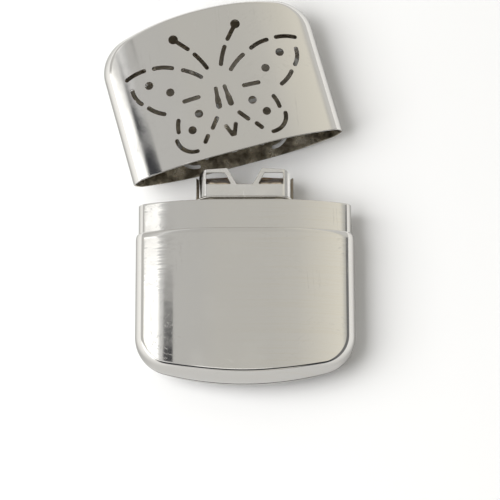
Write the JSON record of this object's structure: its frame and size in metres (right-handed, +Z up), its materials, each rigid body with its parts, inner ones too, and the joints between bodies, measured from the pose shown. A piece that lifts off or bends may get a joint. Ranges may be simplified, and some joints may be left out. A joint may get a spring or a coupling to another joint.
{
  "type": "catalytic hand warmer",
  "caption": "Pocket catalytic hand warmer lying on its back: arched metal fuel tank with a stepped neck, a small M-shaped burner on it, and the vented push-on cap lying off beyond the neck.",
  "frame": {"origin": "centre of the tank's flat back, on the surface it lies on, half way between the tank's bottom and its shoulder", "axes": "+Y along the tank towards the neck, burner and cap; +Z up from the flat back to the front face; +X across the width"},
  "size_m": [0.0774, 0.1239, 0.0155],
  "materials": {
    "case_chrome": "polished chrome plate on sheet brass, fine handling scratches",
    "cap_chrome": "polished chrome plate, slight orange peel beside the rim",
    "plate_steel": "plain nickel-plated, satin",
    "gauze_brass": "fine woven gauze",
    "wick_felt": "dense off-white felt",
    "cotton": "loose cotton wadding",
    "burner_steel": "bright drawn sheet, heat-toned",
    "catalyst_wool": "platinum-coated glass wool, cream to brown",
    "guard_steel": "bright stamped sheet, heat-toned",
    "dark_steel": "darkened by heat"
  },
  "bodies": {
    "tank": {"tank_front_shell": "case_chrome", "tank_back_shell": "case_chrome", "neck_collar": "case_chrome", "neck_top_plate": "plate_steel", "filler_mouth": "plate_steel", "mouth_gauze": "gauze_brass", "wick_felt": "wick_felt", "cotton_wadding": "cotton"},
    "burner": {"burner_base": "burner_steel", "burner_flange": "burner_steel", "vapour_deck": "burner_steel", "catalyst_mat": "catalyst_wool", "guard_front": "guard_steel", "guard_back": "guard_steel", "guard_end_frames": "dark_steel"},
    "cap": {"cap_front_shell": "cap_chrome", "cap_back_shell": "cap_chrome"}
  },
  "joints": [
    {"name": "cap_removal", "type": "hinge", "parent": "tank", "child": "cap", "pos_m": [-0.09313, 0.02908, 0.00775], "axis": [0, 0, 1], "range_deg": [-15.2, 0]},
    {"name": "burner_removal", "type": "slide", "parent": "tank", "child": "burner", "axis": [0, 1, 0], "range_m": [0, 0.012]}
  ]
}
